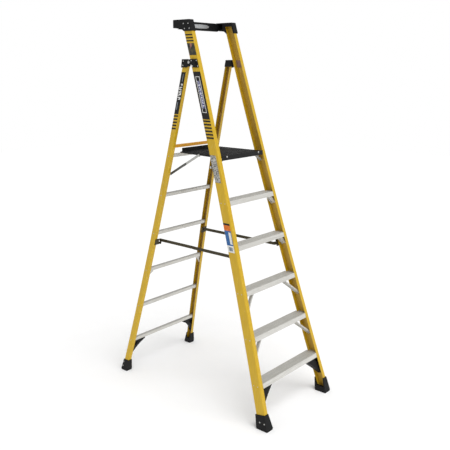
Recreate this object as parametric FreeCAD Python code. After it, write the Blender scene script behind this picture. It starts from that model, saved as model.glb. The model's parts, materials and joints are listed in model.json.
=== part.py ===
"""Platform step ladder: bowed fibreglass rails, aluminium steps and rungs, a folding
platform, spreaders and a guard rail at the top.

Millimetres. +Z is up, the climbing side faces -Y, and the origin is on the floor in the
middle of the four feet. Paired pieces are drawn on the +X side and mirrored to the left.
"""
import FreeCAD, Part
import math
import os

Vec = FreeCAD.Vector

# ---- driving dimensions ----------------------------------------------------------------
STEP_RISE = 294.0            # from one tread to the next, and from the top one to the deck
STEP_COUNT = 5
RUNG_COUNT = 6
FIRST_RUNG_TOP = 273.0

# A rail: its centre line is foot_y + lean * z in side view, and its outer face is at
# half - taper * z + bow * z * z in front view.
FRONT = {"foot_y": -687.0, "lean": 0.303, "half": 382.4, "taper": 0.09725, "bow": 1.58e-5,
         "depth": 74.0, "flange": 32.0, "top": 2655.0}
REAR = {"foot_y": 699.7, "lean": -0.242, "half": 379.9, "taper": 0.1004, "bow": 1.72e-5,
        "depth": 46.0, "flange": 28.0, "top": 2398.0}
RAIL_WALL = 4.0
RAIL_CORNER = 4.5
RAIL_FOOT = 14.0             # height of the rails' lower ends inside the boots

TREAD_FRONT = 37.0           # tread edges, from the rail's centre line
TREAD_BACK = 45.0
TREAD_LIP = 31.0
TREAD_WALL = 3.0
RIB_PITCH = 8.2
RIB_HEIGHT = 1.6

RUNG_DEPTH = 30.0
RUNG_HEIGHT = 27.0
RUNG_WALL = 2.0

HINGE = (81.5, 2385.0)       # main hinge, as y and z
FOLD_DEG = 30.0              # how far the rear frame swings in
HINGE_PIN_R = 6.0
RUNNING_GAP = 0.06           # radial clearance of every pin in its hole

DECK_TOP = STEP_RISE * (STEP_COUNT + 1)
DECK_HALF = 215.0
DECK_FRONT = -191.0
DECK_REAR = 206.0
DECK_WALL = 4.0
DECK_LIP = 25.0              # upstand along the deck's rear edge
DECK_PIVOT_Z = 1745.0
APRON_HALF = 224.0
APRON_HEIGHT = 33.0

LINK_LOW = (305.0, 1592.0)   # platform link: pivot on the rear rail, then on the deck
LINK_HIGH = (26.0, 1752.0)
LINK_WIDTH = 17.0
LINK_THICK = 3.0

SPREADER_Z = 1085.0
SPREADER_WIDTH = 22.0
SPREADER_THICK = 3.0
SPREADER_FRONT_OFFSET = 56.0   # pivots, square to the rails, into the gap between the frames
SPREADER_REAR_OFFSET = 28.0
SPREADER_OUTER_X = 239.5
PLANE_GAP = 0.5              # side play between bars that pass each other

GUARD_TOP = 2667.0
GUARD_OUTER = 242.6
GUARD_INNER = 201.0
GUARD_REAR = 231.5

PAD_HEIGHT = 8.0
BOOT_WALL = 4.0
FIT = 0.3                    # gap between a moulding and the rail inside it
SEAT = 0.15                  # gap under a rivet head on a bowed or sloping face

GROUPS = {}                  # node name -> shape


# ---- geometry helpers ------------------------------------------------------------------
def centre_y(rail, z):
    """Centre line of a rail in side view."""
    return rail["foot_y"] + rail["lean"] * z


def half_width(rail, z):
    """Distance of a rail's outer face from the middle plane."""
    return rail["half"] - rail["taper"] * z + rail["bow"] * z * z


def web_normal(rail, z):
    """Outward direction of a right-hand rail's outer face."""
    slope = -rail["taper"] + 2.0 * rail["bow"] * z
    normal = Vec(1.0, 0.0, -slope)
    normal.normalize()
    return normal


def on_web(rail, offset, z):
    """Point on a right-hand rail's outer face, offset along Y from the centre line."""
    return Vec(half_width(rail, z), centre_y(rail, z) + offset, z)


def along(rail):
    """Unit direction up a rail, as (y, z)."""
    size = math.hypot(rail["lean"], 1.0)
    return rail["lean"] / size, 1.0 / size


def beside(rail, z, offset):
    """Point at height z and at this distance square to a rail's centre line, towards +Y."""
    up_y, up_z = along(rail)
    foot_z = z + offset * up_y
    return centre_y(rail, foot_z) + offset * up_z, z


def prism_x(points, low, high):
    """Solid with a (y, z) outline between two x values."""
    corners = [Vec(low, y, z) for y, z in points]
    face = Part.Face(Part.makePolygon(corners + corners[:1]))
    return face.extrude(Vec(high - low, 0, 0))


def prism_y(points, low, high):
    """Solid with an (x, z) outline between two y values."""
    corners = [Vec(x, low, z) for x, z in points]
    face = Part.Face(Part.makePolygon(corners + corners[:1]))
    return face.extrude(Vec(0, high - low, 0))


def box(low, high):
    """Box between two corners."""
    return Part.makeBox(high[0] - low[0], high[1] - low[1], high[2] - low[2], Vec(*low))


def rod(radius, x_low, x_high, pivot):
    """Cylinder along X at a (y, z) pivot."""
    return Part.makeCylinder(radius, x_high - x_low, Vec(x_low, pivot[0], pivot[1]), Vec(1, 0, 0))


def round_edges(shape, radius, axis):
    """Fillet the straight edges that run along one axis."""
    picked = []
    for edge in shape.Edges:
        if len(edge.Vertexes) != 2:
            continue
        run = edge.Vertexes[1].Point.sub(edge.Vertexes[0].Point)
        if run.Length > 0 and abs(abs(run.dot(axis)) - run.Length) < 1e-6:
            picked.append(edge)
    return shape.makeFillet(radius, picked)


def dome(point, normal, radius, height):
    """Low domed rivet or bolt head standing on a face."""
    ball = (radius * radius + height * height) / (2.0 * height)
    sink = math.degrees(math.asin((ball - height) / ball))
    centre = point - normal * (ball - height)
    return Part.makeSphere(ball, centre, normal, sink, 90, 360)


def bar_between(start, end, width, x_low, x_high):
    """Flat bar with round ends between two (y, z) pivots."""
    length = math.hypot(end[0] - start[0], end[1] - start[1])
    turn = math.degrees(math.atan2(end[1] - start[1], end[0] - start[0]))
    half = width / 2.0
    bar = box((x_low, 0, -half), (x_high, length, half))
    bar = bar.fuse([rod(half, x_low, x_high, (0, 0)), rod(half, x_low, x_high, (length, 0))])
    bar = bar.removeSplitter()
    bar.rotate(Vec(0, 0, 0), Vec(1, 0, 0), turn)
    bar.translate(Vec(0, start[0], start[1]))
    return bar


def turned(point, centre, degrees):
    """A (y, z) point turned about the X direction."""
    angle = math.radians(degrees)
    dy = point[0] - centre[0]
    dz = point[1] - centre[1]
    return (centre[0] + dy * math.cos(angle) - dz * math.sin(angle),
            centre[1] + dy * math.sin(angle) + dz * math.cos(angle))


def mirrored(shape):
    """The left-hand copy of a right-hand shape."""
    return shape.mirror(Vec(0, 0, 0), Vec(1, 0, 0))


def add(name, *shapes):
    """Keep a node; several shapes stay separate solids in one file."""
    GROUPS[name] = shapes[0] if len(shapes) == 1 else Part.makeCompound(list(shapes))


def add_sides(name, shape):
    """Keep a right-hand node and its left-hand twin."""
    add(name + "_right", shape)
    add(name + "_left", mirrored(shape))


def both_sides(shapes):
    """Shapes and their left-hand twins, for a node that holds them all."""
    return list(shapes) + [mirrored(shape) for shape in shapes]


# ---- linkages --------------------------------------------------------------------------
DECK_PIVOT = (centre_y(FRONT, DECK_PIVOT_Z), DECK_PIVOT_Z)
SPREADER_FRONT = beside(FRONT, SPREADER_Z, SPREADER_FRONT_OFFSET)
SPREADER_REAR = beside(REAR, SPREADER_Z, -SPREADER_REAR_OFFSET)


def spreader_middle():
    """Middle pivot, placed so that both halves fold up along the closed front rail."""
    reach = SPREADER_REAR[0] - SPREADER_FRONT[0]
    closed = turned(SPREADER_REAR, HINGE, -FOLD_DEG)
    gap_y = closed[0] - SPREADER_FRONT[0]
    gap_z = closed[1] - SPREADER_FRONT[1]
    up_y, up_z = along(FRONT)
    gap_along = gap_y * up_y + gap_z * up_z
    gap_square = gap_y * up_z - gap_z * up_y
    front_length = (reach ** 2 - gap_along ** 2 - gap_square ** 2) / (2.0 * (reach - gap_along))
    return SPREADER_FRONT[0] + front_length, SPREADER_Z


# ---- rails -----------------------------------------------------------------------------
def bow_band(rail, outset, inset, low, high):
    """Slab between two bowed faces, measured inwards from the rail's outer face."""
    middle = (low + high) / 2.0

    def curve(depth):
        points = [Vec(half_width(rail, z) - depth, -900.0, z) for z in (low, middle, high)]
        return Part.Arc(*points).toShape(), points[0], points[2]

    outer, outer_low, outer_high = curve(outset)
    inner, inner_low, inner_high = curve(inset)
    edges = [outer, Part.makeLine(outer_high, inner_high), inner, Part.makeLine(inner_low, outer_low)]
    face = Part.Face(Part.Wire(Part.__sortEdges__(edges)))
    return face.extrude(Vec(0, 1800.0, 0))


def lean_slab(rail, front, back, low, high):
    """Slanted slab along a rail, from front to back of its centre line."""
    points = [(centre_y(rail, low) + front, low), (centre_y(rail, low) + back, low),
              (centre_y(rail, high) + back, high), (centre_y(rail, high) + front, high)]
    return prism_x(points, 0.0, 500.0)


def rail_block(rail, grow, low, high):
    """The space a rail fills, grown by a gap, with no hollow in it."""
    half = rail["depth"] / 2.0 + grow
    band = bow_band(rail, -grow, rail["flange"] + grow, low, high)
    return band.common(lean_slab(rail, -half, half, low, high))


def channel_rail(rail):
    """Bowed channel with its web outside and its flanges turned inwards."""
    half = rail["depth"] / 2.0
    low, high = RAIL_FOOT, rail["top"]
    solid = rail_block(rail, 0.0, low, high)
    corners = []
    for edge in solid.Edges:
        ends = [vertex.Point for vertex in edge.Vertexes]
        if edge.Length > 2000 and all(abs(p.x - half_width(rail, p.z)) < 0.01 for p in ends):
            corners.append(edge)
    solid = solid.makeFillet(RAIL_CORNER, corners)
    inside = bow_band(rail, RAIL_WALL, rail["flange"] + 5.0, low - 5.0, high + 5.0)
    slot = lean_slab(rail, -half + RAIL_WALL, half - RAIL_WALL, low - 5.0, high + 5.0)
    return solid.cut(inside.common(slot))


def build_rails():
    front = channel_rail(FRONT)
    front = front.cut(rod(HINGE_PIN_R, 200.0, 300.0, DECK_PIVOT))
    add_sides("front_rail", front)
    add_sides("rear_rail", channel_rail(REAR))


# ---- steps and rungs -------------------------------------------------------------------
def leaned(rail, top, points):
    """(offset, height) points set off a rail's centre line, as (y, z)."""
    return [(centre_y(rail, top + height) + offset, top + height) for offset, height in points]


def rib_line(start, end):
    """Top outline of a ribbed tread from front to back, as (offset, height) points."""
    count = int((end - start - RIB_PITCH) // RIB_PITCH)
    margin = (end - start - count * RIB_PITCH) / 2.0
    points = [(start, -RIB_HEIGHT), (start, 0.0), (start + margin / 2.0, 0.0)]
    points.append((start + margin / 2.0, -RIB_HEIGHT))
    for i in range(count):
        left = start + margin + (i + 0.25) * RIB_PITCH
        right = left + RIB_PITCH / 2.0
        points += [(left, -RIB_HEIGHT), (left, 0.0), (right, 0.0), (right, -RIB_HEIGHT)]
    points += [(end - margin / 2.0, -RIB_HEIGHT), (end - margin / 2.0, 0.0), (end, 0.0)]
    return points


def tread(top):
    """Ribbed channel tread with tongues that enter the rails."""
    front, back = -TREAD_FRONT, TREAD_BACK
    wall = TREAD_WALL + RIB_HEIGHT
    outline = [(front, -TREAD_LIP)] + rib_line(front, back)
    outline += [(back, -TREAD_LIP + 6.0), (back - 9.0, -TREAD_LIP + 6.0),
                (back - 9.0, -TREAD_LIP + 8.5), (back - TREAD_WALL, -TREAD_LIP + 8.5),
                (back - TREAD_WALL, -wall), (front + TREAD_WALL, -wall),
                (front + TREAD_WALL, -TREAD_LIP + 2.5), (front + 10.0, -TREAD_LIP + 2.5),
                (front + 10.0, -TREAD_LIP)]
    span = half_width(FRONT, top) - FRONT["flange"] - 0.5
    middle = prism_x(leaned(FRONT, top, outline), -span, span)
    side = FRONT["depth"] / 2.0 - RAIL_WALL - 1.0
    tongue = [(-side, -TREAD_LIP + 4.0), (-side, -RIB_HEIGHT), (side, -RIB_HEIGHT),
              (side, -TREAD_LIP + 7.0), (side - TREAD_WALL, -TREAD_LIP + 7.0),
              (side - TREAD_WALL, -wall), (-side + TREAD_WALL, -wall),
              (-side + TREAD_WALL, -TREAD_LIP + 4.0)]
    reach = half_width(FRONT, top) - RAIL_WALL - 0.2
    return middle.fuse(prism_x(leaned(FRONT, top, tongue), -reach, reach))


def build_steps():
    for number in range(1, STEP_COUNT + 1):
        add("step_%d" % number, tread(STEP_RISE * number))


def rung(top, depth=RUNG_DEPTH, shift=0.0):
    """Rounded box tube between the rear rails."""
    reach = half_width(REAR, top) - RAIL_WALL - 0.2
    y = centre_y(REAR, top - RUNG_HEIGHT / 2.0) + shift
    half = depth / 2.0
    tube = box((-reach, y - half, top - RUNG_HEIGHT), (reach, y + half, top))
    tube = round_edges(tube, 6.0, Vec(1, 0, 0))
    hollow = box((-reach - 1.0, y - half + RUNG_WALL, top - RUNG_HEIGHT + RUNG_WALL),
                 (reach + 1.0, y + half - RUNG_WALL, top - RUNG_WALL))
    return tube.cut(round_edges(hollow, 4.0, Vec(1, 0, 0)))


def build_rungs():
    for number in range(1, RUNG_COUNT):
        add("rung_%d" % number, rung(FIRST_RUNG_TOP + STEP_RISE * (number - 1)))
    slim, back = 20.0, 4.0       # the top one leaves room for the folded platform links
    add("rung_%d" % RUNG_COUNT, rung(FIRST_RUNG_TOP + STEP_RISE * (RUNG_COUNT - 1), slim, back))
    z = 1798.0
    y = centre_y(REAR, z)
    reach = half_width(REAR, z) - RAIL_WALL - 0.5
    bar = box((-reach, y - 11.0, z - 11.0), (reach, y + 11.0, z + 11.0))
    hollow = box((-reach - 1.0, y - 8.0, z - 8.0), (reach + 1.0, y + 8.0, z + 8.0))
    add("rear_cross_bar", round_edges(bar, 3.0, Vec(1, 0, 0)).cut(hollow))


# ---- braces and gussets ----------------------------------------------------------------
def strap(inner, outer, width, wall=2.5, flange=9.0):
    """Channel strap in the front view between two (x, z) points, centred on y = 0."""
    run = math.hypot(outer[0] - inner[0], outer[1] - inner[1])
    across = ((outer[1] - inner[1]) / run, -(outer[0] - inner[0]) / run)

    def shifted(point, depth):
        return point[0] + across[0] * depth, point[1] + across[1] * depth

    plate = [inner, outer, shifted(outer, wall), shifted(inner, wall)]
    side = [inner, outer, shifted(outer, flange), shifted(inner, flange)]
    half = width / 2.0
    walls = [prism_y(side, -half, -half + wall), prism_y(side, half - wall, half)]
    return prism_y(plate, -half, half).fuse(walls).removeSplitter()


def set_under(rail, top, shape, offset=0.0, slant=0.0):
    """Lean a piece drawn about y = 0 with its rail, and trim it to the web and to a height."""
    lean = math.degrees(math.atan(rail["lean"] + slant))
    shape.rotate(Vec(0, 0, top), Vec(1, 0, 0), -lean)
    shape.translate(Vec(0, centre_y(rail, top) + offset, 0))
    room = bow_band(rail, RAIL_WALL + 0.1, 330.0, top - 260.0, top + 40.0)
    return shape.common(room).common(box((0, -900, 0), (500, 900, top)))


def under_brace(top, inner_x, drop, width, back=0.0, slant=0.0):
    """Strap from under a tread down, and forward if slanted, to the inside of the rail's web."""
    under = top - TREAD_WALL - RIB_HEIGHT - 0.3
    z_low = top - drop
    x_high = half_width(FRONT, top) - inner_x
    x_low = half_width(FRONT, z_low) - RAIL_WALL + 2.0
    brace = strap((x_high, under + 4.0), (x_low, z_low), width)
    return set_under(FRONT, under, brace, back, slant)


def curved_gusset(rail, top, reach, drop, width, back=0.0, belly=0.36):
    """Moulded corner with a hollow curved edge, between a tread or rung and its rail."""
    z_low = top - drop
    z_high = top + 12.0
    x_top = half_width(rail, z_high) + 5.0
    x_low = half_width(rail, z_low) + 5.0
    tip_x = half_width(rail, top) - RAIL_WALL - reach
    inner_x = half_width(rail, z_low) - RAIL_WALL - 6.0
    corner, tip = Vec(x_top, 0, z_high), Vec(tip_x, 0, z_high)
    foot, inner = Vec(x_low, 0, z_low), Vec(inner_x, 0, z_low)
    tip_low = Vec(tip_x, 0, top - 6.0)
    middle = Vec(inner_x - 0.52 * reach, 0, top - belly * drop)
    edges = [Part.makeLine(corner, tip), Part.makeLine(tip, tip_low),
             Part.Arc(tip_low, middle, inner).toShape(), Part.makeLine(inner, foot),
             Part.makeLine(foot, corner)]
    solid = Part.Face(Part.Wire(edges)).extrude(Vec(0, width, 0))
    solid.translate(Vec(0, -width / 2.0, 0))
    edge_x = half_width(rail, top) - RAIL_WALL - 9.0
    window = [(edge_x, top - 12.0), (edge_x - 0.45 * reach, top - 12.0), (edge_x, top - 0.5 * drop)]
    for low, high in ((-width, -2.0), (2.0, width)):
        solid = solid.cut(prism_y(window, low, high))
    return set_under(rail, top, solid, back)


def build_braces():
    braces = [under_brace(STEP_RISE * n, 172.0, 176.0, 28.0, 14.0, 0.17) for n in (2, 3)]
    add("step_braces", *both_sides(braces))
    gussets = [under_brace(STEP_RISE * n, 78.0, 92.0, 40.0) for n in (4, 5)]
    add("step_gussets", *both_sides(gussets))
    under_step = STEP_RISE - TREAD_WALL - RIB_HEIGHT - 0.3
    add("step_corner_gussets", *both_sides([
        curved_gusset(FRONT, under_step, 190.0, 168.0, 38.0, -3.0, 0.47)]))
    under_rung = FIRST_RUNG_TOP - RUNG_HEIGHT - 0.3
    add("rung_corner_gussets", *both_sides([curved_gusset(REAR, under_rung, 134.0, 148.0, 32.0)]))
    under_rung += STEP_RISE * 2
    add("rung_braces", *both_sides([curved_gusset(REAR, under_rung, 62.0, 66.0, 26.0)]))
    x_high = half_width(FRONT, DECK_TOP) - 62.0
    z_low = DECK_TOP - 76.0
    x_low = half_width(FRONT, z_low) - RAIL_WALL + 2.0
    rest = strap((x_high, DECK_TOP - 22.0), (x_low, z_low), 20.0)
    add("platform_rests", *both_sides([set_under(FRONT, DECK_TOP - 24.0, rest, 20.5)]))


# ---- feet ------------------------------------------------------------------------------
def section_wire(x_low, x_high, y_low, y_high, z_front, z_back):
    """Rectangle whose front and back edges may differ in height."""
    points = [Vec(x_low, y_low, z_front), Vec(x_high, y_low, z_front),
              Vec(x_high, y_high, z_back), Vec(x_low, y_high, z_back)]
    return Part.makePolygon(points + points[:1])


def boot(rail, inner_x, outer_x, y_low, y_high, top_front, top_back):
    """Moulded shoe that flares from the rail to the floor, open towards the middle."""
    half = rail["depth"] / 2.0 + BOOT_WALL
    outset = half_width(rail, top_back) + BOOT_WALL
    inset = half_width(rail, top_back) - rail["flange"] - BOOT_WALL
    low = section_wire(inner_x, outer_x, y_low, y_high, PAD_HEIGHT, PAD_HEIGHT)
    high = section_wire(inset, outset, centre_y(rail, top_front) - half,
                        centre_y(rail, top_back) + half, top_front, top_back)
    solid = Part.makeLoft([low, high], True, True)
    solid = solid.cut(rail_block(rail, FIT, RAIL_FOOT - FIT, 150.0))
    opening_low = RAIL_FOOT + 26.0
    opening = lean_slab(rail, -half + 2.0 * BOOT_WALL, half - 2.0 * BOOT_WALL, opening_low, 150.0)
    inner_zone = box((0, -900, 0), (half_width(rail, opening_low) - 10.0, 900, 200))
    return solid.cut(opening.common(inner_zone))


def pad(inner_x, outer_x, y_low, y_high):
    """Rubber tread with cross grooves, under a boot."""
    solid = round_edges(box((inner_x, y_low, 0), (outer_x, y_high, PAD_HEIGHT)), 6.0, Vec(0, 0, 1))
    count = 5
    pitch = (y_high - y_low) / count
    for i in range(1, count):
        y = y_low + i * pitch
        solid = solid.cut(box((inner_x - 1, y - 2.0, -1), (outer_x + 1, y + 2.0, 3.0)))
    return solid


FRONT_BOOT = (322.0, 388.0, -725.5, -634.0)   # inner x, outer x, front y, back y at the pad
REAR_BOOT = (333.0, 388.0, 662.0, 725.5)


def build_feet():
    add_sides("front_foot", boot(FRONT, *FRONT_BOOT, 106.0, 92.0))
    add_sides("rear_foot", boot(REAR, *REAR_BOOT, 88.0, 88.0))
    add("front_foot_pads", *both_sides([pad(*FRONT_BOOT)]))
    add("rear_foot_pads", *both_sides([pad(*REAR_BOOT)]))


# ---- main hinge ------------------------------------------------------------------------
PLATE_LOW = 2349.0
PLATE_HIGH = 2405.0
EAR_THICK = 4.0


def build_hinge():
    """Hinge plates on the front rails, caps on the rear rails, and the pins between."""
    front_x = half_width(FRONT, PLATE_LOW) + 0.2
    rear_x = front_x + 0.3
    cap_outer = rear_x + EAR_THICK
    ear_low = cap_outer + PLANE_GAP
    ear_high = ear_low + EAR_THICK
    front = centre_y(FRONT, PLATE_LOW) - 31.0
    lean = FRONT["lean"] * (PLATE_HIGH - PLATE_LOW)
    width = 55.0
    base = [(front, PLATE_LOW), (front + width, PLATE_LOW),
            (front + width + lean, PLATE_HIGH), (front + lean, PLATE_HIGH)]
    plate_outer = front_x + 3.5
    plate = round_edges(prism_x(base, front_x, plate_outer), 3.0, Vec(1, 0, 0))
    step = 18.0
    block = prism_x([(front + step, PLATE_LOW), (front + width, PLATE_LOW),
                     (front + width + lean, PLATE_HIGH), (front + step + lean, PLATE_HIGH)],
                    front_x, ear_high)
    plate = plate.fuse(block)
    knuckle = 14.0
    ear = [(front + 40.0, PLATE_LOW + 14.0), (HINGE[0], HINGE[1] - knuckle),
           (HINGE[0], HINGE[1] + knuckle), (front + 40.0, PLATE_HIGH)]
    ear_solid = prism_x(ear, ear_low, ear_high).fuse(rod(knuckle, ear_low, ear_high, HINGE))
    hole = rod(HINGE_PIN_R + RUNNING_GAP, 180.0, 300.0, HINGE)
    add_sides("hinge_plate", plate.fuse(ear_solid).removeSplitter().cut(hole))
    rear = centre_y(REAR, PLATE_LOW) + 26.0
    lift = REAR["lean"] * (PLATE_HIGH - PLATE_LOW)
    outline = [(HINGE[0] + 6.0, PLATE_LOW + 14.0), (HINGE[0] + 20.0, PLATE_LOW), (rear, PLATE_LOW),
               (rear + lift * 0.6, PLATE_HIGH), (HINGE[0] + 12.0, PLATE_HIGH), (HINGE[0], HINGE[1] + knuckle)]
    side = prism_x(outline, rear_x, cap_outer)
    side = side.fuse(rod(knuckle, rear_x, cap_outer, HINGE)).cut(hole)
    low = REAR["top"] - 42.0
    shell = rail_block(REAR, FIT + 2.5, low, REAR["top"] + 6.0)
    shell = shell.cut(rail_block(REAR, FIT, low - 5.0, REAR["top"] + FIT))
    keep = box((0, 0, low), (rear_x + 1.0, 400, REAR["top"] + 6.0))
    add_sides("hinge_cap", side.fuse(shell.common(keep)).removeSplitter())
    pin = rod(HINGE_PIN_R, rear_x - 9.0, ear_high + 1.0, HINGE)
    head = dome(Vec(ear_high + 1.0, *HINGE), Vec(1, 0, 0), 9.5, 3.0)
    washer = rod(8.0, rear_x - 3.0, rear_x - PLANE_GAP, HINGE)
    add("hinge_pins", *both_sides([pin.fuse([head, washer])]))
    inside = half_width(FRONT, PLATE_HIGH) - RAIL_WALL - 0.3
    backing = prism_x([(y, z) for y, z in leaned(FRONT, PLATE_LOW, [
        (-27.0, 2.0), (27.0, 2.0), (27.0, 52.0), (-27.0, 52.0)])], inside - 2.5, inside)
    add("hinge_backing_plates", *both_sides([backing]))
    return plate_outer, ear_high, cap_outer


# ---- guard rail ------------------------------------------------------------------------
def build_guard():
    """Arms that cap the front rails and the bar that joins them behind the user."""
    front_low = centre_y(FRONT, 2590.0) - FRONT["depth"] / 2.0 - 5.0
    front_high = centre_y(FRONT, GUARD_TOP) - FRONT["depth"] / 2.0 - 5.0
    outline = [(front_low, 2590.0), (133.0, 2590.0), (154.0, 2606.0), (GUARD_REAR, 2613.0),
               (GUARD_REAR, GUARD_TOP), (front_high, GUARD_TOP)]
    arm = round_edges(prism_x(outline, GUARD_INNER, GUARD_OUTER), 5.0, Vec(1, 0, 0))
    arm = arm.cut(rail_block(FRONT, FIT, 2560.0, FRONT["top"] + FIT))
    recess = prism_x(leaned(FRONT, 2560.0, [(-30.0, 0.0), (30.0, 0.0), (30.0, 80.0), (-30.0, 80.0)]),
                     GUARD_INNER - 1.0, 215.0)
    pocket = box((GUARD_INNER - 1.0, 170.0, 2621.0), (GUARD_OUTER - 5.0, 210.0, 2659.0))
    add_sides("guard_arm", arm.cut([recess, pocket]))
    bar_front, bar_low, bar_high = 212.0, 2607.0, 2664.0
    bar = box((-GUARD_INNER, bar_front, bar_low), (GUARD_INNER, GUARD_REAR - 1.5, bar_high))
    bar = round_edges(bar, 4.0, Vec(1, 0, 0))
    groove = box((-GUARD_INNER - 1, bar_front + 4.0, bar_low + 4.0),
                 (GUARD_INNER + 1, GUARD_REAR + 5.0, bar_high - 4.0))
    panel = box((-GUARD_INNER + 6, bar_front - 1, bar_low + 9.0),
                (GUARD_INNER - 6, bar_front + 1.2, bar_high - 9.0))
    add("guard_bar", bar.cut([groove, panel]))
    middle = (bar_low + bar_high) / 2.0
    face = bar_front + 1.2
    half = [(0.0, 14.0), (74.0, 12.0), (96.0, 7.0), (104.0, 0.0), (96.0, -7.0), (74.0, -12.0), (0.0, -14.0)]
    plate = half + [(-x, z) for x, z in reversed(half[1:-1])]
    add("guard_plate", prism_y([(x, middle + z) for x, z in plate], face - 1.8, face))


# ---- platform --------------------------------------------------------------------------
def build_platform():
    wall = DECK_WALL
    skin = wall + RIB_HEIGHT
    outline = [(DECK_FRONT, -24.0)] + rib_line(DECK_FRONT, DECK_REAR - 5.0)
    outline += [(DECK_REAR - 5.0, DECK_LIP), (DECK_REAR, DECK_LIP), (DECK_REAR, -8.0),
                (DECK_REAR - wall, -8.0), (DECK_REAR - wall, -skin), (DECK_FRONT + wall, -skin),
                (DECK_FRONT + wall, -24.0)]
    points = [(y, DECK_TOP + height) for y, height in outline]
    deck = prism_x(points, -DECK_HALF, DECK_HALF)
    trim = box((DECK_HALF - 18.0, DECK_REAR - 6.0, DECK_TOP), (300, 300, 1900))
    deck = deck.cut([trim, mirrored(trim)])
    skirt = [(DECK_FRONT, DECK_TOP - 18.0), (DECK_REAR, DECK_TOP - 8.0), (DECK_REAR, DECK_TOP - 1.0),
             (DECK_FRONT, DECK_TOP - 1.0)]
    ear = [(DECK_PIVOT[0] - 13.0, DECK_TOP - 5.0), (DECK_PIVOT[0] - 13.0, DECK_PIVOT[1]),
           (DECK_PIVOT[0] + 13.0, DECK_PIVOT[1]), (DECK_PIVOT[0] + 26.0, DECK_TOP - 5.0)]
    link = [(LINK_HIGH[0] - 30.0, DECK_TOP - 5.0), (LINK_HIGH[0] - 10.0, LINK_HIGH[1] - 2.0),
            (LINK_HIGH[0] + 10.0, LINK_HIGH[1] - 2.0), (LINK_HIGH[0] + 30.0, DECK_TOP - 5.0)]
    inner = DECK_HALF - wall
    side = prism_x(skirt, inner, DECK_HALF)
    side = side.fuse([prism_x(ear, inner, DECK_HALF), rod(13.0, inner, DECK_HALF, DECK_PIVOT),
                      prism_x(link, inner, DECK_HALF), rod(10.0, inner, DECK_HALF, LINK_HIGH)])
    side = side.cut(rod(HINGE_PIN_R + RUNNING_GAP, inner - 1, DECK_HALF + 1, DECK_PIVOT))
    deck = deck.fuse([side, mirrored(side)]).removeSplitter()
    add("platform_deck", deck)
    back = DECK_FRONT
    apron = box((-APRON_HALF, back - 6.0, DECK_TOP - 31.0), (APRON_HALF, back, DECK_TOP - 31.0 + APRON_HEIGHT))
    apron = round_edges(apron, 2.0, Vec(1, 0, 0))
    add("platform_apron", round_edges(apron, 2.0, Vec(0, 1, 0)))
    heads = [dome(Vec(sx * 173.0, back - 6.0, DECK_TOP - 8.0), Vec(0, -1, 0), 6.5, 3.0) for sx in (-1, 1)]
    add("platform_bolts", *heads)
    z_high = DECK_TOP - skin
    ribs = []
    for x in (60.0, 150.0):
        outer = box((x - 15.0, -170.0, z_high - 14.0), (x + 15.0, 110.0, z_high))
        slot = box((x - 12.5, -171.0, z_high - 15.0), (x + 12.5, 111.0, z_high - 2.5))
        ribs.append(outer.cut(slot))
    add("platform_stiffeners", *both_sides(ribs))
    web = half_width(FRONT, DECK_PIVOT_Z)
    pin = rod(HINGE_PIN_R - 0.05, web - RAIL_WALL - 1.0, web + 0.5, DECK_PIVOT)
    pin = pin.fuse([rod(HINGE_PIN_R, inner - 4.0, web - RAIL_WALL - 1.0, DECK_PIVOT),
                    rod(11.0, DECK_HALF + PLANE_GAP, web - RAIL_WALL - 0.5, DECK_PIVOT),
                    rod(10.0, inner - 6.0, inner - PLANE_GAP, DECK_PIVOT)])
    pin = pin.cut(bow_band(FRONT, RAIL_WALL - 0.02, -5.0, 1700.0, 1790.0).cut(
        rod(HINGE_PIN_R, 200.0, 300.0, DECK_PIVOT)))
    head = dome(on_web(FRONT, 0.0, DECK_PIVOT_Z), web_normal(FRONT, DECK_PIVOT_Z), 9.0, 3.0)
    add("platform_pivots", *both_sides([pin.fuse(head)]))


# ---- platform links --------------------------------------------------------------------
def build_links():
    """Two lapped flat bars on each side, from the rear rail to the deck."""
    upper_low = DECK_HALF + 1.0
    upper_high = upper_low + LINK_THICK
    lower_low = upper_high + 0.1
    lower_high = lower_low + LINK_THICK
    run = (LINK_HIGH[0] - LINK_LOW[0], LINK_HIGH[1] - LINK_LOW[1])

    def at(share):
        return LINK_LOW[0] + share * run[0], LINK_LOW[1] + share * run[1]

    upper = bar_between(at(0.46), LINK_HIGH, LINK_WIDTH, upper_low, upper_high)
    stub = dome(Vec(upper_high, *LINK_HIGH), Vec(1, 0, 0), 6.0, 2.5)
    add_sides("link_upper", upper.fuse(stub))
    lower = bar_between(LINK_LOW, at(0.54), LINK_WIDTH, lower_low, lower_high)
    lower = lower.cut(rod(HINGE_PIN_R + RUNNING_GAP, lower_low - 1, lower_high + 1, LINK_LOW))
    heads = [dome(Vec(lower_high, *at(share)), Vec(1, 0, 0), 4.5, 2.0) for share in (0.48, 0.52)]
    add_sides("link_lower", lower.fuse(heads))
    web = half_width(REAR, LINK_LOW[1])
    pin = rod(HINGE_PIN_R, upper_low + 0.5, web - RAIL_WALL - 0.6, LINK_LOW)
    pin = pin.fuse([rod(9.0, lower_high + PLANE_GAP, web - RAIL_WALL - 0.6, LINK_LOW),
                    rod(9.0, upper_low + 0.5, lower_low - PLANE_GAP, LINK_LOW)])
    add("link_pins", *both_sides([pin]))


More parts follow.
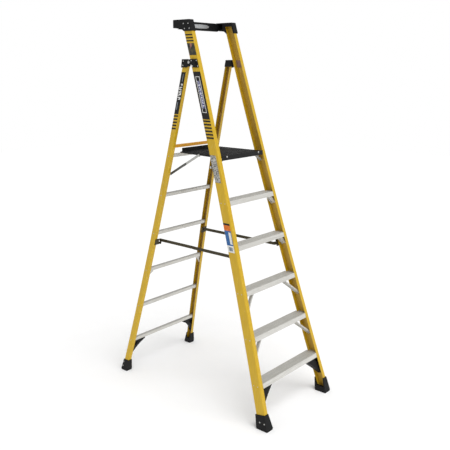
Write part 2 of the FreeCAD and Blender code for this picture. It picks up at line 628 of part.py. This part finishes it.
# ---- spreaders -------------------------------------------------------------------------
def build_spreaders():
    """Folding side stays: two flat halves, a bracket on each frame and rivets."""
    middle = spreader_middle()
    front_high = SPREADER_OUTER_X
    front_low = front_high - SPREADER_THICK
    rear_high = front_low - PLANE_GAP
    rear_low = rear_high - SPREADER_THICK
    hole_r = HINGE_PIN_R + RUNNING_GAP
    front = bar_between(SPREADER_FRONT, middle, SPREADER_WIDTH, front_low, front_high)
    front = front.cut(rod(hole_r, front_low - 1, front_high + 1, SPREADER_FRONT))
    front = front.fuse(dome(Vec(front_high, *middle), Vec(1, 0, 0), 6.5, 2.5))
    add_sides("spreader_front", front)
    rear = bar_between(middle, SPREADER_REAR, SPREADER_WIDTH, rear_low, rear_high)
    rear = rear.cut(rod(hole_r, rear_low - 1, rear_high + 1, SPREADER_REAR))
    rear = rear.fuse(dome(Vec(rear_low, *middle), Vec(-1, 0, 0), 6.5, 2.5))
    add_sides("spreader_rear", rear)

    ear_low = front_high + PLANE_GAP
    up_y, up_z = along(FRONT)
    web = half_width(FRONT, SPREADER_Z)
    face = FRONT["depth"] / 2.0
    plate = leaned(FRONT, SPREADER_Z, [(face, -16.0), (face + 3.0, -16.0), (face + 3.0, 34.0), (face, 34.0)])
    tip = web - FRONT["flange"]
    foot = prism_x(plate, ear_low, tip + 24.0)
    ear = bar_between((SPREADER_FRONT[0] - 26.0 * up_z, SPREADER_FRONT[1] + 26.0 * up_y + 1.0),
                      SPREADER_FRONT, 24.0, ear_low, ear_low + 3.0)
    keep = lean_slab(FRONT, face, face + 60.0, SPREADER_Z - 60.0, SPREADER_Z + 60.0)
    front_pin = rod(HINGE_PIN_R, front_low, ear_low + 1.0, SPREADER_FRONT)
    bracket = foot.fuse([ear.common(keep), front_pin]).removeSplitter()
    add("spreader_front_brackets", *both_sides([bracket]))

    ear_high = rear_low - PLANE_GAP
    face = REAR["depth"] / 2.0
    web = half_width(REAR, SPREADER_Z)
    tip = web - REAR["flange"]
    plate = leaned(REAR, SPREADER_Z, [
        (-face - 3.0, -34.0), (-face, -34.0), (-face, -14.0), (-face - 3.0, -14.0)])
    foot = prism_x(plate, ear_high - 3.0, tip + 20.0)
    upper = leaned(REAR, SPREADER_Z, [(-face - 3.0, -14.5), (-face, -14.5), (-face, 11.0), (-face - 3.0, 11.0)])
    foot = foot.fuse(prism_x(upper, SPREADER_OUTER_X + 5.0, tip + 20.0))
    low_end = beside(REAR, SPREADER_Z - 24.0, -SPREADER_REAR_OFFSET)
    ear = bar_between(low_end, SPREADER_REAR, 20.0, ear_high - 3.0, ear_high)
    keep = lean_slab(REAR, -face - 60.0, -face, SPREADER_Z - 90.0, SPREADER_Z + 60.0)
    rear_pin = rod(HINGE_PIN_R, ear_high - 1.0, rear_high, SPREADER_REAR)
    bracket = foot.fuse([ear.common(keep), rear_pin]).removeSplitter()
    add("spreader_rear_brackets", *both_sides([bracket]))


# ---- rivets ----------------------------------------------------------------------------
def build_rivets(plate_x, ear_x, cap_x):
    """Heads on the outer faces, one node for each frame."""
    out = Vec(1, 0, 0)
    front = []
    for number in range(1, STEP_COUNT + 1):
        z = STEP_RISE * number - 15.0
        out_z = web_normal(FRONT, z)
        front += [dome(on_web(FRONT, dy, z) + out_z * SEAT, out_z, 3.5, 1.4) for dy in (-17.0, 17.0)]
    for z in (2359.0, 2395.0):
        y = centre_y(FRONT, z)
        front.append(dome(Vec(plate_x + SEAT, y - 24.0, z), out, 4.5, 2.0))
        front.append(dome(Vec(ear_x + SEAT, y + 19.0, z), out, 4.5, 2.0))
    for z in (2607.0, 2640.0):
        y = centre_y(FRONT, z)
        front += [dome(Vec(GUARD_OUTER + SEAT, y + dy, z), out, 4.5, 2.0) for dy in (-22.0, 22.0)]
    rear = []
    for number in range(1, RUNG_COUNT + 1):
        z = FIRST_RUNG_TOP + STEP_RISE * (number - 1) - RUNG_HEIGHT / 2.0
        out_z = web_normal(REAR, z)
        rear.append(dome(on_web(REAR, 0.0, z) + out_z * SEAT, out_z, 4.0, 1.6))
    rear.append(dome(Vec(cap_x + SEAT, 141.0, 2364.0), out, 4.5, 2.0))
    rear.append(dome(Vec(cap_x + SEAT, 136.0, 2392.0), out, 4.5, 2.0))
    front += [boot_rivet("front_foot_right", y, z) for y, z in ((-660.0, 50.0), (-698.0, 50.0))]
    rear += [boot_rivet("rear_foot_right", y, z) for y, z in ((704.0, 66.0), (709.0, 34.0))]
    add("front_frame_rivets", *both_sides(front))
    add("rear_frame_rivets", *both_sides(rear))


def boot_rivet(node, y, z):
    """Rivet head on a boot's sloping outer face at a (y, z) place."""
    def face_x(height):
        line = Part.makeLine(Vec(300, y, height), Vec(450, y, height))
        return max(vertex.Point.x for vertex in GROUPS[node].common(line).Vertexes)

    normal = Vec(10.0, 0.0, face_x(z - 5.0) - face_x(z + 5.0))
    normal.normalize()
    return dome(Vec(face_x(z), y, z) + normal * SEAT, normal, 5.0, 2.2)


def main():
    os.makedirs("parts", exist_ok=True)
    build_rails()
    build_steps()
    build_rungs()
    build_braces()
    build_feet()
    plate_x, ear_x, cap_x = build_hinge()
    build_guard()
    build_platform()
    build_links()
    build_spreaders()
    build_rivets(plate_x, ear_x, cap_x)
    for name, shape in GROUPS.items():
        shape.exportStep("parts/%s.step" % name)


if __name__ == "__main__":
    main()
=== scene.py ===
"""Looks of the platform step ladder: materials, labels, floor, lights and camera.

Metres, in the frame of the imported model: the climbing side faces -Y and +Z is up. Texture
coordinates are the frame's own, since every node's place is in its vertices.
"""
import json
import math
import bpy
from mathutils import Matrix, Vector
from mathutils.bvhtree import BVHTree


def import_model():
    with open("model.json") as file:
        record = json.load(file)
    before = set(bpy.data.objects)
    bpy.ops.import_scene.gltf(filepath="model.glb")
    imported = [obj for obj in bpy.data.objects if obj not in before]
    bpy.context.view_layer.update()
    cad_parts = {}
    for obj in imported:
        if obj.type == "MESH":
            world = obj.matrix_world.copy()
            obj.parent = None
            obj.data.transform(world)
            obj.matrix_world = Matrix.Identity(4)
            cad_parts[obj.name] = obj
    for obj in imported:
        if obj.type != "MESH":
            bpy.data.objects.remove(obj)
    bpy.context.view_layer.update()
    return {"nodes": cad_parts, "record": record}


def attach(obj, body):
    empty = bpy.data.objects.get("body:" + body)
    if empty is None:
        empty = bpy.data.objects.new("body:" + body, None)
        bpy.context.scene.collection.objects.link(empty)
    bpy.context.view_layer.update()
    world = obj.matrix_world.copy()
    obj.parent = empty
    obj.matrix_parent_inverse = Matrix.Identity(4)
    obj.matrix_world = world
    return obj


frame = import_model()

scene = bpy.context.scene


# ---- materials -------------------------------------------------------------------------
def linear(colour):
    """sRGB 0-255 to linear RGBA."""
    out = []
    for level in colour:
        level /= 255.0
        out.append(level / 12.92 if level <= 0.04045 else ((level + 0.055) / 1.055) ** 2.4)
    return out + [1.0]


class Finish:
    """A Principled material whose colour, roughness and bump come from noise nodes."""

    def __init__(self, name, metallic=0.0, specular=0.5, coat=0.0):
        self.material = bpy.data.materials.new(name)
        self.material.use_nodes = True
        self.nodes = self.material.node_tree.nodes
        self.shader = self.nodes["Principled BSDF"]
        self.shader.inputs["Metallic"].default_value = metallic
        self.shader.inputs["Specular IOR Level"].default_value = specular
        self.shader.inputs["Coat Weight"].default_value = coat
        self.shader.inputs["Coat Roughness"].default_value = 0.3
        self.place = self.nodes.new("ShaderNodeTexCoord").outputs["Object"]

    def link(self, source, target):
        self.material.node_tree.links.new(source, target)

    def noise(self, scale, stretch=(1.0, 1.0, 1.0), detail=4.0):
        """Noise in the frame's coordinates; stretch below 1 draws it out along that axis."""
        mapping = self.nodes.new("ShaderNodeMapping")
        mapping.inputs["Scale"].default_value = stretch
        self.link(self.place, mapping.inputs["Vector"])
        noise = self.nodes.new("ShaderNodeTexNoise")
        noise.inputs["Scale"].default_value = scale
        noise.inputs["Detail"].default_value = detail
        self.link(mapping.outputs["Vector"], noise.inputs["Vector"])
        return noise.outputs["Fac"]

    def ramp(self, factor, low, high, start=0.3, end=0.7):
        """Colours low to high as the factor goes from start to end."""
        ramp = self.nodes.new("ShaderNodeValToRGB")
        first, last = ramp.color_ramp.elements
        first.position, first.color = start, low
        last.position, last.color = end, high
        self.link(factor, ramp.inputs["Fac"])
        return ramp.outputs["Color"]

    def spread(self, factor, low, high, start=0.3, end=0.7):
        """A number from low to high as the factor goes from start to end."""
        span = self.nodes.new("ShaderNodeMapRange")
        limits = (("From Min", start), ("From Max", end), ("To Min", low), ("To Max", high))
        for socket, value in limits:
            span.inputs[socket].default_value = value
        self.link(factor, span.inputs["Value"])
        return span.outputs["Result"]

    def mix(self, factor, first, second):
        """Blend from the first colour to the second; each may be a socket or a value."""
        mix = self.nodes.new("ShaderNodeMix")
        mix.data_type = "RGBA"
        for value, target in ((factor, mix.inputs["Factor"]), (first, mix.inputs["A"]),
                              (second, mix.inputs["B"])):
            if isinstance(value, bpy.types.NodeSocket):
                self.link(value, target)
            else:
                target.default_value = value
        return mix.outputs["Result"]

    def bump(self, height, strength, distance):
        bump = self.nodes.new("ShaderNodeBump")
        bump.inputs["Strength"].default_value = strength
        bump.inputs["Distance"].default_value = distance
        self.link(height, bump.inputs["Height"])
        return bump.outputs["Normal"]

    def finish(self, colour, roughness, normal=None):
        self.link(colour, self.shader.inputs["Base Color"])
        self.link(roughness, self.shader.inputs["Roughness"])
        if normal is not None:
            self.link(normal, self.shader.inputs["Normal"])
        return self.material

    def facing(self, axis, signed=False):
        """How far the surface faces along an axis; signed by the place's own side, so that
        it is negative on faces that look towards the middle of the object."""
        split = self.nodes.new("ShaderNodeSeparateXYZ")
        self.link(self.nodes.new("ShaderNodeNewGeometry").outputs["Normal"], split.inputs[0])
        if not signed:
            return split.outputs[axis]
        side = self.nodes.new("ShaderNodeSeparateXYZ")
        self.link(self.place, side.inputs[0])
        product = self.nodes.new("ShaderNodeMath")
        product.operation = "MULTIPLY"
        self.link(split.outputs[axis], product.inputs[0])
        self.link(side.outputs[axis], product.inputs[1])
        return product.outputs[0]


ALONG_RAIL = (1.0, 1.0, 0.02)      # stretch of noise drawn out along Z
ALONG_STEP = (0.02, 1.0, 1.0)      # and along X
TOP_SHADE_LEVELS = 46                         # levels by which the painted shade on faces that look up is darker than the metal
WORN = 26                          # levels by which worn patches are lighter than the moulding
FILM_ROUGH = (0.42, 0.57)          # roughness of printed film
SPECKS = 60.0                      # noise scale of its ink
SCUFFED = (228, 208, 150)          # resin where it has been rubbed


def fibreglass(name, dark, light, shade_inside, along=ALONG_RAIL):
    """Pultruded resin: fine fibres drawn along the rail over a slow cloudy change, with painted
    shade inside the channel: a duller, browner colour on the faces that look towards the middle."""
    f = Finish(name, specular=0.4, coat=0.1)
    fibres = f.noise(900.0, along, 6.0)
    bands = f.noise(190.0, along, 3.0)
    cloud = f.noise(7.0)
    scuff = f.noise(46.0, (1.0, 1.0, 0.35), 9.0)
    base = f.ramp(bands, linear(dark), linear(light), 0.3, 0.72)
    base = f.mix(f.spread(fibres, 0.0, 0.35), base, linear(light))
    base = f.mix(f.spread(cloud, 0.0, 0.2, 0.42, 0.68), base, linear(dark))
    # painted shade: faces inside the channel blend to the darker painted shade colour
    base = f.mix(f.spread(f.facing("X", True), 0.0, 0.9, -0.08, -0.2), base, linear(shade_inside))
    base = f.mix(f.spread(scuff, 0.0, 0.16, 0.60, 0.70), base, linear(SCUFFED))
    return f.finish(base, f.spread(bands, 0.36, 0.52), f.bump(fibres, 0.25, 0.0003))


def metal(name, dark, light, metallic, rough, top=0.0):
    """Drawn or rolled metal: die lines along X, slow tarnish and small marks; top is how much
    painted shade darkens what faces up."""
    f = Finish(name, metallic=metallic, specular=0.4)
    lines = f.noise(700.0, ALONG_STEP, 5.0)
    streaks = f.noise(95.0, ALONG_STEP, 2.0)
    cloud = f.noise(16.0, detail=6.0)
    marks = f.noise(120.0, detail=8.0)
    base = f.ramp(lines, linear(dark), linear(light), 0.25, 0.75)
    base = f.mix(f.spread(streaks, 0.0, 0.45, 0.45, 0.62), base, linear(dark))
    base = f.mix(f.spread(cloud, 0.0, 0.3, 0.45, 0.7), base, linear(dark))
    base = f.mix(f.spread(marks, 0.0, 0.25, 0.62, 0.7), base, linear(light))
    # painted shade: faces that look up are darkened, standing in for the shade between the
    # tread's ribs
    if top:
        top_shade_colour = linear([level - TOP_SHADE_LEVELS for level in dark])
        base = f.mix(f.spread(f.facing("Z"), 0.0, top, 0.5, 0.9), base, top_shade_colour)
    return f.finish(base, f.spread(cloud, rough, rough + 0.14), f.bump(lines, 0.3, 0.0002))


def moulded(name, dark, light, rough, grain=1400.0, depth=0.0003):
    """Moulded nylon, rubber or powder coat: even fine grain with polished worn patches."""
    f = Finish(name, specular=0.2)
    fine = f.noise(grain, detail=2.0)
    cloud = f.noise(11.0, detail=5.0)
    marks = f.noise(75.0, detail=9.0)
    base = f.ramp(cloud, linear(dark), linear(light), 0.35, 0.68)
    worn = linear([level + WORN for level in light])
    base = f.mix(f.spread(marks, 0.0, 0.3, 0.6, 0.72), base, worn)
    return f.finish(base, f.spread(cloud, rough - 0.08, rough + 0.08), f.bump(fine, 0.45, depth))


def label(name, dark, light):
    """Printed film with a slightly uneven gloss and fine ink specks."""
    f = Finish(name, specular=0.25)
    cloud = f.noise(SPECKS, detail=5.0)
    base = f.ramp(cloud, linear(dark), linear(light), 0.38, 0.64)
    return f.finish(base, f.spread(cloud, *FILM_ROUGH), f.bump(cloud, 0.08, 0.0002))


YELLOW = ((190, 151, 12), (208, 172, 30))
FINISHES = {
    # the last colour given to each fibreglass is its painted shade inside the channel
    "fibreglass": fibreglass("fibreglass", *YELLOW, (186, 150, 54)),
    "fibreglass_amber": fibreglass("fibreglass_amber", (196, 134, 30), (216, 158, 48),
                                   (196, 134, 30), ALONG_STEP),
    # top darkens the treads with painted shade
    "aluminium": metal("aluminium", (190, 188, 181), (226, 225, 221), 0.3, 0.42, top=0.5),
    "black_moulding": moulded("black_moulding", (13, 13, 14), (21, 21, 22), 0.56),
    "platform_black": moulded("platform_black", (19, 19, 20), (29, 29, 30), 0.52, 900.0),
    "foot_rubber": moulded("foot_rubber", (12, 12, 12), (20, 20, 20), 0.72, 700.0, 0.0006),
    "steel_dark": metal("steel_dark", (50, 44, 28), (78, 70, 48), 0.5, 0.42),
    "steel_grey": metal("steel_grey", (84, 84, 82), (120, 120, 117), 0.6, 0.4),
    "link_light": metal("link_light", (170, 170, 166), (208, 208, 204), 0.6, 0.36),
    "zinc": metal("zinc", (170, 170, 168), (215, 215, 212), 0.85, 0.3),
    "badge_metal": metal("badge_metal", (176, 180, 182), (214, 216, 218), 0.7, 0.3),
    "backing_brown": metal("backing_brown", (128, 100, 88), (160, 130, 116), 0.2, 0.45),
    "label_dark": label("label_dark", (24, 23, 22), (36, 35, 33)),
    "label_light": label("label_light", (212, 212, 208), (232, 232, 228)),
    "label_grey": label("label_grey", (112, 122, 132), (142, 150, 158)),
    "label_orange": label("label_orange", (206, 104, 34), (222, 122, 44)),
    "label_blue": label("label_blue", (46, 92, 148), (62, 108, 164)),
}


def mottled():
    """Dark printed panel with soft green and brown patches."""
    f = Finish("label_mottled", specular=0.5, coat=0.1)
    cloud = f.noise(38.0, detail=3.0)
    patch = f.noise(24.0, (1.0, 1.3, 0.8), 2.0)
    base = f.ramp(cloud, linear((30, 34, 26)), linear((74, 70, 44)), 0.42, 0.62)
    base = f.mix(f.spread(patch, 0.0, 0.85, 0.6, 0.68), base, linear((168, 110, 96)))
    return f.finish(base, f.spread(cloud, 0.35, 0.5), f.bump(cloud, 0.08, 0.0002))


def printed(name, ground, ink, scale):
    """Label film covered by fine unreadable print, as broken specks in rows."""
    f = Finish(name, specular=0.25)
    specks = f.noise(scale, (1.0, 0.5, 1.6), 2.0)
    base = f.ramp(specks, linear(ground), linear(ink), 0.47, 0.54)
    return f.finish(base, f.spread(specks, 0.42, 0.55), f.bump(specks, 0.08, 0.0002))


MOTTLED = mottled()
GREY_PRINT = printed("label_grey_print", (186, 184, 176), (104, 104, 104), 150.0)
WHITE_PRINT = printed("label_white_print", (34, 33, 32), (226, 226, 222), 75.0)
BLUE_PRINT = printed("label_blue_print", (62, 66, 120), (206, 206, 220), 110.0)
# rear rails: a copy of the fibreglass whose inside carries a deeper painted shade
REAR_RAILS_SHADED = fibreglass("fibreglass_rear_shaded", *YELLOW, (134, 100, 44))


def paint(piece, material):
    piece.data.materials.clear()
    piece.data.materials.append(material)


for row in frame["record"]["subparts"]:
    node = frame["nodes"][row["node"]]
    material = FINISHES[row["material_slot"]]
    # the rear rails take the copy with the deeper painted shade inside the channel
    if row["node"].startswith("rear_rail"):
        material = REAR_RAILS_SHADED
    for slot in node.material_slots:
        slot.material = material


# ---- labels on the left rails ------------------------------------------------------------
# A rail in side view: its centre line's y at the floor, the line's y per unit of height, and
# half the rail's depth.
FRONT = {"node": "front_rail_left", "body": "front_frame",
         "foot": -0.687, "lean": 0.303, "half": 0.037}
REAR = {"node": "rear_rail_left", "body": "rear_frame",
        "foot": 0.6997, "lean": -0.242, "half": 0.023}
FILM = 0.0004                # thickness of a label
LIFT = 0.0002                # gap between a label and the rail, so that they don't touch
OUTSIDE = -1.0               # x where the rays towards the left rails start
PROBE = 0.8                  # share of the half depth where the web has no holes
ROW = 0.02                   # height of one row of a label's faces
COLUMNS = 4


def tree_of(rail):
    """The rail's mesh, ready for rays to be cast at it."""
    mesh = frame["nodes"][rail["node"]].data
    points = [v.co.copy() for v in mesh.vertices]
    return BVHTree.FromPolygons(points, [tuple(p.vertices) for p in mesh.polygons])


for rail in (FRONT, REAR):
    rail["tree"] = tree_of(rail)


def web_at(rail, y, z):
    """Outer face of a rail's web at one height: its x, the same all across, and its normal."""
    hit, normal, _, _ = rail["tree"].ray_cast(Vector((OUTSIDE, y, z)), Vector((1.0, 0.0, 0.0)))
    return hit.x, normal


def sticker(name, rail, low, high, front, rear, slot, layer=0, material=None):
    """Thin film on a rail's outer face, from height low to high, and from front to rear as
    shares of the rail's half depth (-1 is its front edge and 1 its rear edge). A layer above
    0 lies on top of another label."""
    rows = max(2, int((high - low) / ROW) + 1)
    lift = LIFT + layer * (FILM + LIFT)
    inner, outer = [], []
    for i in range(rows + 1):
        z = low + (high - low) * i / rows
        centre = rail["foot"] + rail["lean"] * z
        depth = rail["half"] * math.hypot(1.0, rail["lean"])
        face, normal = web_at(rail, centre + PROBE * depth, z)
        for j in range(COLUMNS + 1):
            y = centre + (front + (rear - front) * j / COLUMNS) * depth
            inner.append(Vector((face, y, z)) + normal * lift)
            outer.append(Vector((face, y, z)) + normal * (lift + FILM))
    width = COLUMNS + 1
    count = len(inner)
    faces = []
    for i in range(rows):
        for j in range(COLUMNS):
            a = i * width + j
            quad = (a, a + 1, a + width + 1, a + width)
            faces.append(tuple(reversed(quad)))
            faces.append(tuple(v + count for v in quad))
    rim = list(range(width)) + [r * width + COLUMNS for r in range(1, rows + 1)]
    rim += [rows * width + c for c in range(COLUMNS - 1, -1, -1)]
    rim += [r * width for r in range(rows - 1, 0, -1)]
    for first, second in zip(rim, rim[1:] + rim[:1]):
        faces.append((first, second, second + count, first + count))
    mesh = bpy.data.meshes.new(name)
    mesh.from_pydata([tuple(p) for p in inner + outer], [], faces)
    mesh.validate()
    mesh.update()
    piece = bpy.data.objects.new(name, mesh)
    scene.collection.objects.link(piece)
    paint(piece, material or FINISHES[slot])
    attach(piece, rail["body"])


EDGE = 0.86                  # share of the half depth that is flat


def stripes(name, rail, count, top, pitch, height):
    """Dark bars across a rail, from the top one down."""
    for number in range(count):
        high = top - pitch * number
        sticker("%s_%d" % (name, number + 1), rail, high - height, high, -EDGE, EDGE,
                "label_dark")


def outline(name, rail, low, high, front, rear, line):
    """Light frame printed on a dark label, from four thin strips."""
    side = line / rail["half"]
    bottom, top = low + line, high - line
    sticker(name + "_top", rail, top, high, front, rear, "label_light", 1)
    sticker(name + "_bottom", rail, low, bottom, front, rear, "label_light", 1)
    sticker(name + "_left", rail, bottom, top, front, front + side, "label_light", 1)
    sticker(name + "_right", rail, bottom, top, rear - side, rear, "label_light", 1)


stripes("front_top_stripe", FRONT, 3, 2.570, 0.020, 0.009)
sticker("front_picture_label", FRONT, 2.431, 2.510, -EDGE, EDGE, "label_dark", material=MOTTLED)
sticker("front_black_label", FRONT, 2.007, 2.322, -EDGE, EDGE, "label_dark")
outline("front_frame", FRONT, 2.050, 2.290, -0.45, 0.5, 0.004)
sticker("front_bar", FRONT, 2.080, 2.260, -0.22, 0.28, "label_grey", 1, BLUE_PRINT)
stripes("front_stripe", FRONT, 6, 2.000, 0.022, 0.011)
sticker("front_grey_label", FRONT, 1.590, 1.770, -0.45, EDGE, "label_grey", material=GREY_PRINT)
sticker("front_heading", FRONT, 1.313, 1.325, -0.6, EDGE, "label_dark")
sticker("front_orange_label", FRONT, 1.277, 1.313, -0.6, EDGE, "label_orange")
sticker("front_blue_label", FRONT, 1.180, 1.277, -0.6, EDGE, "label_blue")
sticker("front_white_patch", FRONT, 1.190, 1.268, -0.5, 0.0, "label_light", 1)
sticker("front_code_label", FRONT, 1.135, 1.180, -0.6, EDGE, "label_light")
sticker("front_code_block", FRONT, 1.145, 1.170, -0.3, 0.5, "label_grey", 1)
sticker("rear_black_label", REAR, 2.030, 2.318, -EDGE, EDGE, "label_dark")
sticker("rear_light_block", REAR, 2.130, 2.240, -0.5, 0.7, "label_light", 1, WHITE_PRINT)
sticker("rear_line", REAR, 2.060, 2.115, 0.1, 0.35, "label_grey", 1)
sticker("rear_top_line", REAR, 2.255, 2.305, -0.2, 0.0, "label_grey", 1)
stripes("rear_stripe", REAR, 5, 2.022, 0.022, 0.011)


# ---- floor, lights and camera ------------------------------------------------------------
FLOOR_HALF = 14.0
KEY_TOWARDS = (-0.12, -0.58, 0.80)
KEY_STRENGTH = 1.9
KEY_SPREAD = 1.0                   # radians: soft shadows
SKY_LIGHT = 0.6
SKY_SEEN = 1.0                     # what the camera sees behind the object
EYE = (-3.531, -3.0565, 2.333)
AZIMUTH = -49.33                   # degrees about +Z, from looking along +Y
DOWN = 11.66                       # degrees below level
LENS = 52.39                       # mm, on a sensor of this width
SENSOR = 36.0
SHIFT = (0.0015, -0.0443)
FAR_CLIP = 60.0


def floor():
    half = FLOOR_HALF
    mesh = bpy.data.meshes.new("floor")
    corners = [(-half, -half, 0.0), (half, -half, 0.0), (half, half, 0.0), (-half, half, 0.0)]
    mesh.from_pydata(corners, [], [(0, 1, 2, 3)])
    piece = bpy.data.objects.new("floor", mesh)
    scene.collection.objects.link(piece)
    f = Finish("floor_paper", specular=0.1)
    cloud = f.noise(3.0)
    paint(piece, f.finish(f.ramp(cloud, linear((252, 252, 252)), linear((254, 254, 254))),
                          f.spread(cloud, 0.85, 0.95)))


def sun(towards, strength, spread):
    light = bpy.data.lights.new("soft_key", "SUN")
    light.energy = strength
    light.angle = spread
    lamp = bpy.data.objects.new("soft_key", light)
    lamp.rotation_euler = Vector(towards).to_track_quat("Z", "Y").to_euler()
    scene.collection.objects.link(lamp)


def camera():
    data = bpy.data.cameras.new("camera")
    data.lens = LENS
    data.sensor_width = SENSOR
    data.shift_x, data.shift_y = SHIFT
    data.clip_end = FAR_CLIP
    eye = bpy.data.objects.new("camera", data)
    eye.location = EYE
    eye.rotation_euler = (math.pi / 2.0 - math.radians(DOWN), 0.0, math.radians(AZIMUTH))
    scene.collection.objects.link(eye)
    scene.camera = eye


def world():
    """Soft even light all round, and a plain white backdrop that is brighter than its light."""
    sky = bpy.data.worlds.new("studio")
    sky.use_nodes = True
    nodes, links = sky.node_tree.nodes, sky.node_tree.links
    path = nodes.new("ShaderNodeLightPath")
    strength = nodes.new("ShaderNodeMapRange")
    strength.inputs["To Min"].default_value = SKY_LIGHT
    strength.inputs["To Max"].default_value = SKY_SEEN
    links.new(path.outputs["Is Camera Ray"], strength.inputs["Value"])
    background = nodes["Background"]
    background.inputs["Color"].default_value = (1.0, 1.0, 1.0, 1.0)
    links.new(strength.outputs["Result"], background.inputs["Strength"])
    scene.world = sky


floor()
sun(KEY_TOWARDS, KEY_STRENGTH, KEY_SPREAD)
world()
camera()
scene.view_settings.view_transform = "Standard"
scene.view_settings.look = "None"
